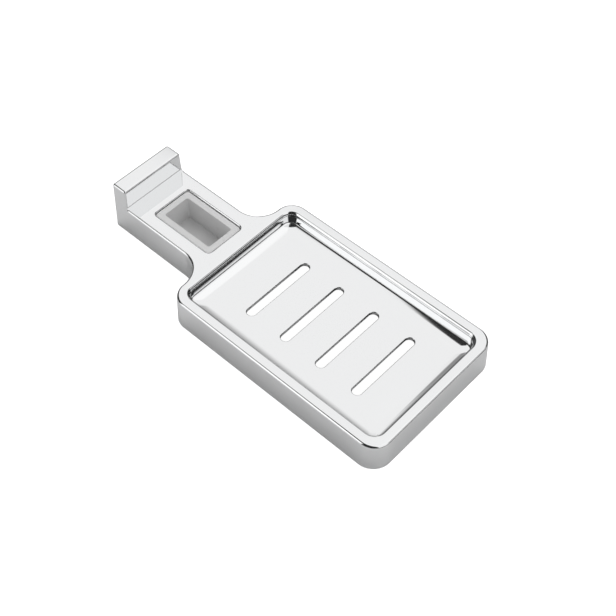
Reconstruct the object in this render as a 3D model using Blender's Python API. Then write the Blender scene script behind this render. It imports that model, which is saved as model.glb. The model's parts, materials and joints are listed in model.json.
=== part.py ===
"""Bathroom soap dish with a socket neck that slips onto the foot of a flat rail.

A chrome-plated cast body carries a rectangular dish at one end and a neck with an
upstand at the other. A slotted tray drops into the dish from above and is held by two
screws from below. A grey plastic liner snaps into the socket of the neck.

Metres, +Z up. The origin is the centre of the footprint, on the plane it rests on.
+X runs from the upstand to the front of the dish.
"""

import math

import bmesh
import bpy

# Body, plan sizes at the height of the rim.
BODY_LENGTH = 0.210
DISH_LENGTH = 0.140
DISH_WIDTH = 0.0914
DISH_CORNER_RADIUS = 0.010
NECK_WIDTH = 0.0418
NECK_CORNER_RADIUS = 0.002
SHOULDER_FILLET_RADIUS = 0.0145

# Body, heights, drafts and walls.
DECK_HEIGHT = 0.0178
UPSTAND_RISE = 0.0135
UPSTAND_THICKNESS = 0.0102
UPSTAND_FILLET_RADIUS = 0.0013
SIDE_DRAFT = math.radians(2.8)
END_DRAFT = math.radians(2.5)
EDGE_ROUND = 0.0013
BODY_WALL = 0.0024
DECK_THICKNESS = 0.0024
UPSTAND_WALL = 0.0026
INNER_CORNER_RADIUS = 0.001

# Opening of the dish and the ledge that carries the tray.
RIM_SIDE_WIDTH = 0.0060
RIM_NECK_WIDTH = 0.0047
RIM_FRONT_WIDTH = 0.0051
OPENING_CORNER_RADIUS = 0.0055
OPENING_EDGE_ROUND = 0.0009
LEDGE_WIDTH = 0.003
LEDGE_THICKNESS = 0.002

# Tray.
TRAY_DEPTH = 0.0085
TRAY_FLOOR = 0.002
TRAY_LIP_DROP = 0.0009
TRAY_LIP_WIDTH = 0.0007
TRAY_FOOT_RADIUS = 0.0018
TRAY_DISH_RADIUS = 0.060
TRAY_DISH_TILT = math.radians(9.0)
TRAY_CORNER_RADIUS = 0.0035
TRAY_EDGE_ROUND = 0.0003
SLOT_COUNT = 4
SLOT_PITCH = 0.024
SLOT_WIDTH = 0.0056
SLOT_LENGTH = 0.0453
SLOT_EDGE_ROUND = 0.0004

# Ribs under the tray and the two screw pillars on the outermost ribs.
RIB_THICKNESS = 0.003
RIB_LIFT = 0.0008
PILLAR_RADIUS = 0.0045
TRAY_BOSS_RADIUS = 0.0032
TRAY_BOSS_LENGTH = 0.003
PILOT_SKIN = 0.001

# Screws.
SCREW_HEAD_RADIUS = 0.0027
SCREW_HEAD_HEIGHT = 0.0016
SCREW_FACE_RADIUS = 0.0020
SCREW_CROWN_HEIGHT = 0.0007
SCREW_SHANK_RADIUS = 0.0012
SCREW_POINT_RADIUS = 0.0006
SCREW_RECESS_DEPTH = 0.0009
SCREW_RECESS_LENGTH = 0.0028
SCREW_RECESS_WIDTH = 0.0006

# Socket of the neck and its liner.
MOUTH_LENGTH = 0.042
MOUTH_WIDTH = 0.025
MOUTH_LAND = 0.0094
MOUTH_CORNER_RADIUS = 0.0024
MOUTH_EDGE_ROUND = 0.0008
SLEEVE_WALL = 0.0016
SLEEVE_LIFT = 0.003
LINER_DROP = 0.0010
LINER_FLANGE_WIDTH = 0.0038
LINER_FLANGE_THICKNESS = 0.002
LINER_WALL = 0.0016
LINER_FLOOR = 0.0016
LINER_LIFT = 0.0006
LINER_CORNER_RADIUS = 0.0012
LINER_EDGE_ROUND = 0.0004
LINER_DRAFT = math.radians(2.5)
BARB_LENGTH = 0.006
BARB_REACH = 0.0010
BARB_HEIGHT = 0.0015
BARB_NOSE = 0.0005
BARB_SPACING = 0.018

# Clearances, and the least straight stretch left between two round corners.
SEAT_GAP = 0.0003
OVERCUT = 0.005
SHORT_EDGE = 0.0002

# Facets of the round stretches, and the angle from which an edge counts as sharp.
CORNER_STEPS = 12
SMALL_CORNER_STEPS = 6
ROUND_STEPS = 3
FOOT_STEPS = 6
DISH_STEPS = 5
CYLINDER_STEPS = 32
SHARP_ANGLE = math.radians(32.0)
ROUNDED_ANGLE = math.radians(50.0)

# Places that follow from the sizes.
X_BACK = -BODY_LENGTH / 2
X_FRONT = BODY_LENGTH / 2
X_SHOULDER = X_FRONT - DISH_LENGTH
X_OPENING = (X_SHOULDER + RIM_NECK_WIDTH, X_FRONT - RIM_FRONT_WIDTH)
OPENING_CENTER_X = sum(X_OPENING) / 2
OPENING_HALF = ((X_OPENING[1] - X_OPENING[0]) / 2, DISH_WIDTH / 2 - RIM_SIDE_WIDTH)
TOP_HEIGHT = DECK_HEIGHT + UPSTAND_RISE
UPSTAND_FACE_X = X_BACK + UPSTAND_RISE * math.tan(END_DRAFT) + UPSTAND_THICKNESS
TRAY_TOP = DECK_HEIGHT - TRAY_DEPTH
TRAY_BOTTOM = TRAY_TOP - TRAY_FLOOR
LEDGE_TOP = TRAY_BOTTOM - SEAT_GAP
PILLAR_TOP = TRAY_BOTTOM - TRAY_BOSS_LENGTH - SEAT_GAP
HEAD_POCKET_TOP = RIB_LIFT + SCREW_HEAD_HEIGHT + SEAT_GAP
MOUTH_CENTER_X = X_OPENING[0] - MOUTH_LAND - MOUTH_LENGTH / 2
MOUTH_HALF = (MOUTH_LENGTH / 2, MOUTH_WIDTH / 2)
LINER_TOP = DECK_HEIGHT - LINER_DROP
FLANGE_SEAT = LINER_TOP - LINER_FLANGE_THICKNESS - SEAT_GAP
FLANGE_HALF = tuple(half - SEAT_GAP for half in MOUTH_HALF)
HOLLOW_HALF = tuple(half - LINER_FLANGE_WIDTH for half in FLANGE_HALF)
LINER_HALF = tuple(half + LINER_WALL for half in HOLLOW_HALF)
SLEEVE_BORE_HALF = tuple(half + SEAT_GAP for half in LINER_HALF)


def clear_scene():
    """Empties the file of objects before anything is made."""
    for item in list(bpy.data.objects):
        bpy.data.objects.remove(item, do_unlink=True)


def make_material(name, color, metallic, roughness):
    """A Principled BSDF material of one finish."""
    material = bpy.data.materials.new(name)
    material.use_nodes = True
    shader = material.node_tree.nodes["Principled BSDF"]
    shader.inputs["Base Color"].default_value = (*color, 1.0)
    shader.inputs["Metallic"].default_value = metallic
    shader.inputs["Roughness"].default_value = roughness
    return material


def arc(center, radius, start, sweep, steps):
    """Points of an arc in plan, both ends included."""
    angles = [start + sweep * i / steps for i in range(steps + 1)]
    return [(center[0] + radius * math.cos(a), center[1] + radius * math.sin(a)) for a in angles]


def mirrored(points):
    """A half outline at +Y, from front to back, closed by its mirror image at -Y."""
    return points + [(x, -y) for x, y in reversed(points)]


def rounded_rectangle(center_x, half, radius, steps=SMALL_CORNER_STEPS):
    """A rectangle with round corners, symmetrical about the X axis."""
    radius = min(radius, half[0] - SHORT_EDGE, half[1] - SHORT_EDGE)
    front = (center_x + half[0] - radius, half[1] - radius)
    back = (center_x - half[0] + radius, half[1] - radius)
    quarter = math.pi / 2
    return mirrored(arc(front, radius, 0.0, quarter, steps) + arc(back, radius, quarter, quarter, steps))


def body_outline(z):
    """The body's plan at a height: dish, concave shoulders and neck, with draft."""
    end = (DECK_HEIGHT - z) * math.tan(END_DRAFT)
    side = (DECK_HEIGHT - z) * math.tan(SIDE_DRAFT)
    grow = (end + side) / 2
    half_dish = DISH_WIDTH / 2 + side
    half_neck = NECK_WIDTH / 2 + side
    corner = DISH_CORNER_RADIUS + grow
    shoulder = min(SHOULDER_FILLET_RADIUS - grow, half_dish - half_neck - corner)
    neck_corner = NECK_CORNER_RADIUS + grow
    front_x = X_FRONT + end
    shoulder_x = X_SHOULDER - end
    back_x = X_BACK - end
    quarter = math.pi / 2
    points = arc((front_x - corner, half_dish - corner), corner, 0.0, quarter, CORNER_STEPS)
    points += arc((shoulder_x + corner, half_dish - corner), corner, quarter, quarter, CORNER_STEPS)
    points += arc((shoulder_x - shoulder, half_neck + shoulder), shoulder, 0.0, -quarter, CORNER_STEPS)[1:]
    points += arc((back_x + neck_corner, half_neck - neck_corner), neck_corner, quarter, quarter,
                  SMALL_CORNER_STEPS)
    return mirrored(points)


def mesh_object(name, bm, material=None):
    """Turns a bmesh into a named object with smooth rounds and sharp edges."""
    bmesh.ops.recalc_face_normals(bm, faces=bm.faces)
    mesh = bpy.data.meshes.new(name)
    bm.to_mesh(mesh)
    bm.free()
    item = bpy.data.objects.new(name, mesh)
    bpy.context.scene.collection.objects.link(item)
    if material:
        mesh.materials.append(material)
    mesh.shade_smooth()
    mesh.set_sharp_from_angle(angle=SHARP_ANGLE)
    return item


def skin(bm, rings):
    """Closes a stack of rings of vertices into one skin, with a face at each end."""
    for lower, upper in zip(rings, rings[1:]):
        count = len(lower)
        for i in range(count):
            j = (i + 1) % count
            bm.faces.new((lower[i], lower[j], upper[j], upper[i]))
    bm.faces.new(rings[0][::-1])
    bm.faces.new(rings[-1])


def loft(name, sections, material=None):
    """A closed solid through plan sections, each a list of points and a height."""
    bm = bmesh.new()
    skin(bm, [[bm.verts.new((x, y, z)) for x, y in points] for points, z in sections])
    return mesh_object(name, bm, material)


def extruded_profile(name, profile, half_width):
    """A side profile in X and Z, extruded both ways along Y."""
    bm = bmesh.new()
    skin(bm, [[bm.verts.new((x, y, z)) for x, z in profile] for y in (-half_width, half_width)])
    return mesh_object(name, bm)


def turned(name, center, profile, material=None):
    """A solid of revolution about a vertical axis, from a radius and height profile."""
    sections = [(arc(center, radius, 0.0, 2 * math.pi, CYLINDER_STEPS)[:-1], z) for radius, z in profile]
    return loft(name, sections, material)


def box(name, low, high):
    """A plain block between two corners."""
    plan = [(low[0], low[1]), (high[0], low[1]), (high[0], high[1]), (low[0], high[1])]
    return loft(name, [(plan, low[2]), (plan, high[2])])


def apply_tool(target, tool, operation):
    """Cuts a tool from a target, or joins it on, with a Boolean modifier."""
    modifier = target.modifiers.new(tool.name, "BOOLEAN")
    modifier.operation = operation
    modifier.solver = "EXACT"
    modifier.object = tool
    tool.hide_render = True
    tool.display_type = "WIRE"
    tool.hide_viewport = False


def cut(target, *tools):
    for tool in tools:
        apply_tool(target, tool, "DIFFERENCE")


def join(target, *tools):
    for tool in tools:
        apply_tool(target, tool, "UNION")


def quarter_round(radius, steps):
    """Inset and rise along a convex quarter round, from its side to its top."""
    angles = [math.pi / 2 * i / steps for i in range(steps + 1)]
    return [(radius * (1 - math.cos(a)), radius * math.sin(a)) for a in angles]


def flared_cutter(name, center_x, half, radius, bottom, top, flare):
    """A pocket cutter whose mouth at a height called top widens in a quarter round."""
    sections = [(rounded_rectangle(center_x, half, radius), bottom)]
    for inset, rise in quarter_round(flare, ROUND_STEPS):
        wide = tuple(size + inset for size in half)
        sections.append((rounded_rectangle(center_x, wide, radius + inset), top - flare + rise))
    wide = tuple(size + flare for size in half)
    sections.append((rounded_rectangle(center_x, wide, radius + flare), top + OVERCUT))
    return loft(name, sections)


def rib_places():
    """X positions of the ribs, which stand midway between the slots."""
    first = OPENING_CENTER_X - SLOT_PITCH * SLOT_COUNT / 2
    return [first + SLOT_PITCH * i for i in range(SLOT_COUNT + 1)]


def screw_places():
    """Plan positions of the two tray screws, on the first and the last rib."""
    places = rib_places()
    return [(places[0], 0.0), (places[-1], 0.0)]


def deck_cutter():
    """Everything above the deck in front of the upstand, with the fillet at its foot."""
    radius = min(UPSTAND_FILLET_RADIUS, UPSTAND_RISE - EDGE_ROUND)
    center = (UPSTAND_FACE_X + radius, DECK_HEIGHT + radius)
    profile = arc(center, radius, math.pi, math.pi / 2, ROUND_STEPS)
    far_x = X_FRONT + DISH_WIDTH
    above = TOP_HEIGHT + OVERCUT
    profile += [(far_x, DECK_HEIGHT), (far_x, above), (UPSTAND_FACE_X, above)]
    return extruded_profile("deck_cutter", profile, DISH_WIDTH)


def drafted_cavity(name, x_range, half_width, radius, top):
    """A cavity open below whose walls follow the draft of the outside."""
    sections = []
    for z in (-OVERCUT, top):
        side = (DECK_HEIGHT - z) * math.tan(SIDE_DRAFT)
        half = ((x_range[1] - x_range[0]) / 2, half_width + side)
        sections.append((rounded_rectangle(sum(x_range) / 2, half, radius), z))
    return loft(name, sections)


def neck_cavity():
    """The hollow of the neck, which leaves the sleeve of the socket standing."""
    cavity = drafted_cavity("neck_cavity", (X_BACK + BODY_WALL, X_SHOULDER),
                            NECK_WIDTH / 2 - BODY_WALL, INNER_CORNER_RADIUS, DECK_HEIGHT - DECK_THICKNESS)
    upper_half = tuple(size + SLEEVE_WALL for size in MOUTH_HALF)
    lower_half = tuple(size + SLEEVE_WALL for size in SLEEVE_BORE_HALF)
    upper = rounded_rectangle(MOUTH_CENTER_X, upper_half, MOUTH_CORNER_RADIUS + SLEEVE_WALL)
    lower = rounded_rectangle(MOUTH_CENTER_X, lower_half, LINER_CORNER_RADIUS + SLEEVE_WALL)
    collar = loft("sleeve_collar", [(upper, FLANGE_SEAT - SLEEVE_WALL), (upper, TOP_HEIGHT)])
    sleeve = loft("sleeve_core", [(lower, SLEEVE_LIFT), (lower, TOP_HEIGHT)])
    cut(cavity, collar, sleeve)
    return cavity


def upstand_cavity():
    """The core that keeps the walls of the upstand about as thin as the rest."""
    return drafted_cavity("upstand_cavity", (X_BACK + UPSTAND_WALL, UPSTAND_FACE_X - UPSTAND_WALL),
                          NECK_WIDTH / 2 - UPSTAND_WALL, INNER_CORNER_RADIUS, TOP_HEIGHT - UPSTAND_WALL)


def dish_cavity():
    """The hollow under the ledge that carries the tray."""
    return drafted_cavity("dish_cavity", (X_SHOULDER + BODY_WALL, X_FRONT - BODY_WALL),
                          DISH_WIDTH / 2 - BODY_WALL, DISH_CORNER_RADIUS - BODY_WALL,
                          LEDGE_TOP - LEDGE_THICKNESS)


def rib(index, x):
    """A cross rib from wall to wall that the tray lies on."""
    half = RIB_THICKNESS / 2
    reach = DISH_WIDTH / 2 - BODY_WALL / 2
    return box(f"rib_{index}", (x - half, -reach, RIB_LIFT), (x + half, reach, LEDGE_TOP))


def screw_pillar(index, center):
    """The round stretch of a rib that a tray screw passes through."""
    return turned(f"screw_pillar_{index}", center, [(PILLAR_RADIUS, RIB_LIFT), (PILLAR_RADIUS, LEDGE_TOP)])


def screw_passage(index, center):
    """Room for the tray boss above, the shank, and the screw head below."""
    boss = TRAY_BOSS_RADIUS + SEAT_GAP
    shank = SCREW_SHANK_RADIUS + SEAT_GAP
    head = SCREW_HEAD_RADIUS + SEAT_GAP
    profile = [(head, RIB_LIFT - OVERCUT), (head, HEAD_POCKET_TOP), (shank, HEAD_POCKET_TOP),
               (shank, PILLAR_TOP), (boss, PILLAR_TOP), (boss, TRAY_TOP)]
    return turned(f"screw_passage_{index}", center, profile)


def make_body(material):
    """The chrome body: rim, neck, upstand, and the ribbed casting underneath."""
    body = loft("dish_body", [(body_outline(-OVERCUT), -OVERCUT), (body_outline(TOP_HEIGHT), TOP_HEIGHT)],
                material)
    cut(body, deck_cutter())
    rounding = body.modifiers.new("edge_round", "BEVEL")
    rounding.width = min(EDGE_ROUND, NECK_CORNER_RADIUS - SHORT_EDGE)
    rounding.segments = ROUND_STEPS
    rounding.limit_method = "ANGLE"
    rounding.angle_limit = ROUNDED_ANGLE
    cut(body, box("below_rest_plane", (-BODY_LENGTH, -DISH_WIDTH, -2 * OVERCUT), (BODY_LENGTH, DISH_WIDTH, 0.0)))
    cut(body, flared_cutter("dish_opening", OPENING_CENTER_X, OPENING_HALF, OPENING_CORNER_RADIUS,
                            LEDGE_TOP, DECK_HEIGHT, OPENING_EDGE_ROUND))
    ledge_half = tuple(size - LEDGE_WIDTH for size in OPENING_HALF)
    ledge_plan = rounded_rectangle(OPENING_CENTER_X, ledge_half, OPENING_CORNER_RADIUS)
    cut(body, loft("ledge_opening", [(ledge_plan, -OVERCUT), (ledge_plan, DECK_HEIGHT)]), dish_cavity())
    cut(body, neck_cavity(), upstand_cavity())
    join(body, *[rib(i, x) for i, x in enumerate(rib_places())])
    join(body, *[screw_pillar(i, place) for i, place in enumerate(screw_places())])
    cut(body, *[screw_passage(i, place) for i, place in enumerate(screw_places())])
    cut(body, flared_cutter("mouth", MOUTH_CENTER_X, MOUTH_HALF, MOUTH_CORNER_RADIUS,
                            FLANGE_SEAT, DECK_HEIGHT, MOUTH_EDGE_ROUND))
    bore = rounded_rectangle(MOUTH_CENTER_X, SLEEVE_BORE_HALF, LINER_CORNER_RADIUS + SEAT_GAP)
    cut(body, loft("sleeve_bore", [(bore, -OVERCUT), (bore, DECK_HEIGHT)]))
    return body


def tray_section(inset, z):
    """One level of the tray, inset from the outline that fits the opening."""
    half = tuple(size - SEAT_GAP - inset for size in OPENING_HALF)
    radius = max(OPENING_CORNER_RADIUS - SEAT_GAP - inset, TRAY_CORNER_RADIUS)
    return rounded_rectangle(OPENING_CENTER_X, half, radius, CORNER_STEPS), z


def tray_floor_profile():
    """Inset and height from the tray's upright side through its foot to the flat floor."""
    foot_rise = TRAY_DISH_RADIUS * (1 - math.cos(TRAY_DISH_TILT))
    foot_center = TRAY_TOP + foot_rise + TRAY_FOOT_RADIUS * math.cos(TRAY_DISH_TILT)
    dish_start = TRAY_LIP_WIDTH + TRAY_FOOT_RADIUS * (1 - math.sin(TRAY_DISH_TILT))
    points = []
    for step in range(FOOT_STEPS + 1):
        tilt = math.pi / 2 + (TRAY_DISH_TILT - math.pi / 2) * step / FOOT_STEPS
        points.append((TRAY_LIP_WIDTH + TRAY_FOOT_RADIUS * (1 - math.sin(tilt)),
                       foot_center - TRAY_FOOT_RADIUS * math.cos(tilt)))
    for step in range(1, DISH_STEPS + 1):
        tilt = TRAY_DISH_TILT * (1 - step / DISH_STEPS)
        points.append((dish_start + TRAY_DISH_RADIUS * (math.sin(TRAY_DISH_TILT) - math.sin(tilt)),
                       TRAY_TOP + TRAY_DISH_RADIUS * (1 - math.cos(tilt))))
    return points


def slot_cutter(index, x):
    """A round-ended drain slot with a small round on its upper edge."""
    sections = []
    levels = [(0.0, TRAY_BOTTOM - OVERCUT)]
    levels += [(inset, TRAY_TOP - SLOT_EDGE_ROUND + rise)
               for inset, rise in quarter_round(SLOT_EDGE_ROUND, ROUND_STEPS)]
    levels.append((SLOT_EDGE_ROUND, TRAY_TOP + OVERCUT))
    for grow, z in levels:
        radius = SLOT_WIDTH / 2 + grow
        reach = SLOT_LENGTH / 2 - SLOT_WIDTH / 2
        plan = arc((x, reach), radius, 0.0, math.pi, CORNER_STEPS)
        plan += arc((x, -reach), radius, math.pi, math.pi, CORNER_STEPS)
        sections.append((plan, z))
    return loft(f"slot_{index}", sections)


def make_tray(material):
    """The drop-in tray: a floor that dishes up to upright sides, a lip and four drain slots."""
    top = DECK_HEIGHT - TRAY_LIP_DROP
    sections = [tray_section(TRAY_EDGE_ROUND, TRAY_BOTTOM), tray_section(0.0, TRAY_BOTTOM + TRAY_EDGE_ROUND)]
    for inset, rise in quarter_round(TRAY_EDGE_ROUND, ROUND_STEPS):
        sections.append(tray_section(inset, top - TRAY_EDGE_ROUND + rise))
    for inset, rise in reversed(quarter_round(TRAY_EDGE_ROUND, ROUND_STEPS)):
        sections.append(tray_section(TRAY_LIP_WIDTH - inset, top - TRAY_EDGE_ROUND + rise))
    sections += [tray_section(inset, z) for inset, z in tray_floor_profile()]
    tray = loft("soap_tray", sections, material)
    for i, place in enumerate(screw_places()):
        low = TRAY_BOTTOM - TRAY_BOSS_LENGTH
        boss = [(TRAY_BOSS_RADIUS, low), (TRAY_BOSS_RADIUS, TRAY_BOTTOM + TRAY_FLOOR / 2)]
        join(tray, turned(f"tray_boss_{i}", place, boss))
        pilot_radius = SCREW_SHANK_RADIUS + SEAT_GAP
        pilot = [(pilot_radius, low - OVERCUT), (pilot_radius, TRAY_TOP - PILOT_SKIN)]
        cut(tray, turned(f"tray_pilot_{i}", place, pilot))
    for i in range(SLOT_COUNT):
        x = OPENING_CENTER_X + SLOT_PITCH * (i - (SLOT_COUNT - 1) / 2)
        cut(tray, slot_cutter(i, x))
    return tray


def liner_section(half, radius, z):
    """One level of the socket liner."""
    return rounded_rectangle(MOUTH_CENTER_X, half, radius), z


def make_barb(index, x, side):
    """A wedge on the liner that clicks under the lower edge of the sleeve."""
    inner = LINER_HALF[1] - LINER_WALL / 2
    root = LINER_HALF[1]
    tip = root + SEAT_GAP + BARB_REACH
    top = SLEEVE_LIFT - SEAT_GAP
    bottom = top - BARB_HEIGHT
    profile = [(inner, bottom), (root, bottom), (tip, top - BARB_NOSE), (tip, top), (inner, top)]
    bm = bmesh.new()
    ends = (x - BARB_LENGTH / 2, x + BARB_LENGTH / 2)
    skin(bm, [[bm.verts.new((end, side * y, z)) for y, z in profile] for end in ends])
    return mesh_object(f"barb_{index}", bm)


def make_liner(material):
    """The grey socket liner: flange, tapered blind hollow and snap barbs."""
    seat = LINER_TOP - LINER_FLANGE_THICKNESS
    outer_radius = LINER_CORNER_RADIUS + LINER_WALL
    flange_radius = MOUTH_CORNER_RADIUS - SEAT_GAP
    floor = LINER_LIFT + LINER_FLOOR
    sections = [liner_section(LINER_HALF, outer_radius, LINER_LIFT),
                liner_section(LINER_HALF, outer_radius, seat),
                liner_section(FLANGE_HALF, flange_radius, seat)]
    for inset, rise in quarter_round(LINER_EDGE_ROUND, ROUND_STEPS):
        half = tuple(size - inset for size in FLANGE_HALF)
        sections.append(liner_section(half, flange_radius - inset, LINER_TOP - LINER_EDGE_ROUND + rise))
    for inset, rise in reversed(quarter_round(LINER_EDGE_ROUND, ROUND_STEPS)):
        half = tuple(size + inset for size in HOLLOW_HALF)
        sections.append(liner_section(half, LINER_CORNER_RADIUS + inset, LINER_TOP - LINER_EDGE_ROUND + rise))
    taper = (LINER_TOP - floor) * math.tan(LINER_DRAFT)
    half = tuple(size - taper for size in HOLLOW_HALF)
    sections.append(liner_section(half, LINER_CORNER_RADIUS, floor))
    liner = loft("socket_liner", sections, material)
    places = [(x, side) for x in (-BARB_SPACING / 2, BARB_SPACING / 2) for side in (-1, 1)]
    join(liner, *[make_barb(i, MOUTH_CENTER_X + x, side) for i, (x, side) in enumerate(places)])
    return liner


def screw_recess(screw_name, center):
    """The two crossed slots of a screw head, open below."""
    long = SCREW_RECESS_LENGTH / 2
    narrow = SCREW_RECESS_WIDTH / 2
    tools = []
    for name, half_x, half_y in (("along", long, narrow), ("across", narrow, long)):
        low = (center[0] - half_x, center[1] - half_y, RIB_LIFT - OVERCUT)
        high = (center[0] + half_x, center[1] + half_y, RIB_LIFT + SCREW_RECESS_DEPTH)
        tools.append(box(f"{screw_name}_recess_{name}", low, high))
    return tools


def make_screw(name, center, material):
    """One of the two pan-head screws that hold the tray down, seen from below."""
    head_top = RIB_LIFT + SCREW_HEAD_HEIGHT
    end = TRAY_TOP - PILOT_SKIN - SEAT_GAP
    shank_end = end - (SCREW_SHANK_RADIUS - SCREW_POINT_RADIUS)
    profile = [(SCREW_FACE_RADIUS, RIB_LIFT), (SCREW_HEAD_RADIUS, RIB_LIFT + SCREW_CROWN_HEIGHT),
               (SCREW_HEAD_RADIUS, head_top), (SCREW_SHANK_RADIUS, head_top),
               (SCREW_SHANK_RADIUS, shank_end), (SCREW_POINT_RADIUS, end)]
    screw = turned(name, center, profile, material)
    cut(screw, *screw_recess(name, center))
    return screw


def build():
    clear_scene()
    chrome = make_material("chrome_plate", (0.82, 0.83, 0.84), 1.0, 0.06)
    liner_grey = make_material("liner_plastic", (0.62, 0.62, 0.62), 0.0, 0.45)
    steel = make_material("screw_steel", (0.62, 0.61, 0.60), 1.0, 0.3)
    make_body(chrome)
    make_tray(chrome)
    make_liner(liner_grey)
    for end, place in zip(("rear", "front"), screw_places()):
        make_screw(f"tray_screw_{end}", place, steel)


build()
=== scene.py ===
"""Looks of a chrome soap dish with a slotted tray and a grey socket in its neck.

The body, the tray, the liner and the screws are modelled again with fine rounds, because
polished chrome shows every facet, and stand for the plain solids of the frame.
"""

import json
import math

import bmesh
import bpy
from mathutils import Euler, Matrix, Vector

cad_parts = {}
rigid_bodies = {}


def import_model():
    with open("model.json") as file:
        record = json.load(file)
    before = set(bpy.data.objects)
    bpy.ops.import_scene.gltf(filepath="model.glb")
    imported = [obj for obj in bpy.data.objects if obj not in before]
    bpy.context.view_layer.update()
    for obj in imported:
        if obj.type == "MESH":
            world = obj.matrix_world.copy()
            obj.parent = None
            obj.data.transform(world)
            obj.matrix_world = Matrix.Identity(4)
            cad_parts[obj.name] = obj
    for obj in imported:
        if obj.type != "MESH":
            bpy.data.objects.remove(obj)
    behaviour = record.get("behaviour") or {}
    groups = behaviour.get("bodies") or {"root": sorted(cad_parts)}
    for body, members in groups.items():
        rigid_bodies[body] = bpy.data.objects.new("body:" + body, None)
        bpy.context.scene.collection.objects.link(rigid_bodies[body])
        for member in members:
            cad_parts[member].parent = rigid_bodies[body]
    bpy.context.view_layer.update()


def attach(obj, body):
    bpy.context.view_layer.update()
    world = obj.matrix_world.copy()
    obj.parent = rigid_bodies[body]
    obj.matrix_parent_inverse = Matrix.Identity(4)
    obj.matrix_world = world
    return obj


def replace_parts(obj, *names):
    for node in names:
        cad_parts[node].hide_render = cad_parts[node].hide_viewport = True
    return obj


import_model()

# All sizes are in metres, and angles are written in degrees.

# Body, plan sizes at the height of the rim.
BODY_LENGTH = 0.210
DISH_LENGTH = 0.140
DISH_WIDTH = 0.0914
DISH_CORNER_RADIUS = 0.010
NECK_WIDTH = 0.0418
NECK_CORNER_RADIUS = 0.002
SHOULDER_FILLET_RADIUS = 0.0145

# Body, heights, drafts and walls.
DECK_HEIGHT = 0.0178
UPSTAND_RISE = 0.0130
UPSTAND_THICKNESS = 0.0102
SIDE_DRAFT = math.radians(2.8)
END_DRAFT = math.radians(2.5)
EDGE_ROUND = 0.0018
BODY_WALL = 0.0024
DECK_THICKNESS = 0.0024
UPSTAND_WALL = 0.0026
INNER_CORNER_RADIUS = 0.001

# The upstand has a sharp foot. A fillet stands there only while the outer edges are rounded,
# so that the foot itself isn't rounded, and is then cut off down to a skim.
FOOT_FILLET_RADIUS = 0.0013
FOOT_SKIM = 0.00002

# Opening of the dish and the ledge that carries the tray.
RIM_SIDE_WIDTH = 0.00675
RIM_NECK_WIDTH = 0.00535
RIM_FRONT_WIDTH = 0.00655
OPENING_CORNER_RADIUS = 0.0055
OPENING_CREST_RADIUS = 0.0008
OPENING_CREST_TILT = math.radians(25.0)
OPENING_EDGE_RADIUS = 0.0021
LEDGE_WIDTH = 0.003
LEDGE_THICKNESS = 0.002

# Tray, with the radius of each bend from its side to its floor and the tilt where it ends.
TRAY_DEPTH = 0.0085
TRAY_FLOOR = 0.002
TRAY_LIP_DROP = 0.0021
TRAY_LIP_WIDTH = 0.0001
TRAY_FOOT_RADIUS = 0.0003
TRAY_FOOT_TILT = math.radians(27.0)
TRAY_FLARE_RADIUS = 0.0038
TRAY_RISE_RADIUS = 0.060
TRAY_RISE_TILT = math.radians(13.0)
TRAY_DISH_RADIUS = 0.026
TRAY_DISH_TILT = math.radians(11.5)
TRAY_CORNER_RADIUS = 0.0035
TRAY_EDGE_ROUND = 0.00005
SLOT_COUNT = 4
SLOT_CENTER_X = 0.0348
SLOT_PITCH = 0.024
SLOT_WIDTH = 0.0056
SLOT_LENGTH = 0.0453
SLOT_EDGE_ROUND = 0.0004

# Ribs, pillars and bosses.
RIB_THICKNESS = 0.003
RIB_LIFT = 0.0008
PILLAR_RADIUS = 0.0045
TRAY_BOSS_RADIUS = 0.0032
TRAY_BOSS_LENGTH = 0.003
PILOT_SKIN = 0.001

# Screws.
SCREW_HEAD_RADIUS = 0.0027
SCREW_HEAD_HEIGHT = 0.0016
SCREW_FACE_RADIUS = 0.0020
SCREW_CROWN_HEIGHT = 0.0007
SCREW_SHANK_RADIUS = 0.0012
SCREW_POINT_RADIUS = 0.0006
SCREW_RECESS_DEPTH = 0.0009
SCREW_RECESS_LENGTH = 0.0028
SCREW_RECESS_WIDTH = 0.0006

# Socket of the neck and its liner.
MOUTH_LENGTH = 0.042
MOUTH_WIDTH = 0.025
MOUTH_LAND = 0.01005
MOUTH_CORNER_RADIUS = 0.0024
MOUTH_EDGE_ROUND = 0.0008
SLEEVE_WALL = 0.0016
SLEEVE_LIFT = 0.003
LINER_DROP = 0.0010
LINER_FLANGE_WIDTH = 0.0038
LINER_FLANGE_THICKNESS = 0.002
LINER_WALL = 0.0016
LINER_FLOOR = 0.0016
LINER_LIFT = 0.0006
LINER_CORNER_RADIUS = 0.0012
LINER_EDGE_ROUND = 0.0004
LINER_DRAFT = math.radians(2.5)
BARB_LENGTH = 0.006
BARB_REACH = 0.0010
BARB_HEIGHT = 0.0015
BARB_NOSE = 0.0005
BARB_SPACING = 0.018

# Clearances; the tray's is narrower than in the plain solids, because it shows.
SEAT_GAP = 0.0003
TRAY_GAP = 0.0001

# Overrun of the cutters, and the least straight stretch left between two round corners.
OVERCUT = 0.005
SHORT_EDGE = 0.0002

# Fineness of the rounds, in steps for each.
CORNER_STEPS = 40
SMALL_CORNER_STEPS = 16
RIM_STEPS = 20
ROUND_STEPS = 8
COVE_STEPS = 32
CYLINDER_STEPS = 64

# Edges over these angles are rounded, or stay sharp in the shading.
ROUNDED_ANGLE = math.radians(50.0)
SHARP_ANGLE = math.radians(30.0)
FLAT_FACE_WEIGHT = 80

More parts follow.
